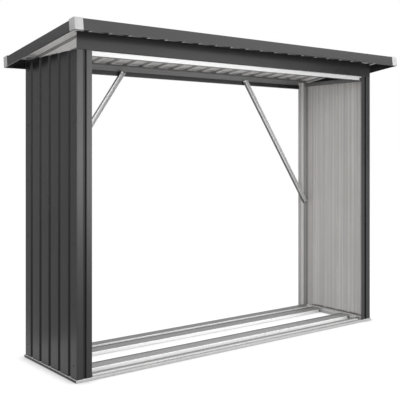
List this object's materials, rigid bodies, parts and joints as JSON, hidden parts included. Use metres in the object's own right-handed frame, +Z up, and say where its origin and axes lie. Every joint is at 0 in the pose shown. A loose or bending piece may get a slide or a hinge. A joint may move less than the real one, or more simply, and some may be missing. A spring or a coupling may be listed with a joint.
{
  "type": "metal log store",
  "caption": "Open-fronted metal log store with ribbed side walls, a lean-to ribbed roof with trim and corner caps, back braces and a low galvanised base.",
  "frame": {"origin": "on the ground under the middle of the outer box", "axes": "+X along the width to the right, +Y to the back, +Z up"},
  "size_m": [2.179, 0.7512, 1.6012],
  "materials": {
    "painted_steel": "satin anthracite coat outside, pale grey back coat inside",
    "galvanised": "bright galvanised steel",
    "white_plastic": "moulded off-white plastic"
  },
  "bodies": {
    "root": {"base_front_rail": "galvanised", "base_back_rail": "galvanised", "base_left_rail": "galvanised", "base_right_rail": "galvanised", "front_slat": "galvanised", "back_slat": "galvanised", "post_front_left": "painted_steel", "post_front_right": "painted_steel", "post_back_left": "painted_steel", "post_back_right": "painted_steel", "left_wall": "painted_steel", "right_wall": "painted_steel", "left_top_rail": "painted_steel", "right_top_rail": "painted_steel", "front_lintel": "galvanised", "front_beam": "painted_steel", "back_beam": "painted_steel", "left_brace": "galvanised", "right_brace": "galvanised", "roof_left_sheet": "painted_steel", "roof_middle_sheet": "painted_steel", "roof_right_sheet": "painted_steel", "front_trim": "painted_steel", "back_trim": "painted_steel", "left_trim": "painted_steel", "right_trim": "painted_steel", "cap_front_left": "white_plastic", "cap_front_right": "white_plastic", "cap_back_left": "white_plastic", "cap_back_right": "white_plastic"}
  },
  "joints": []
}
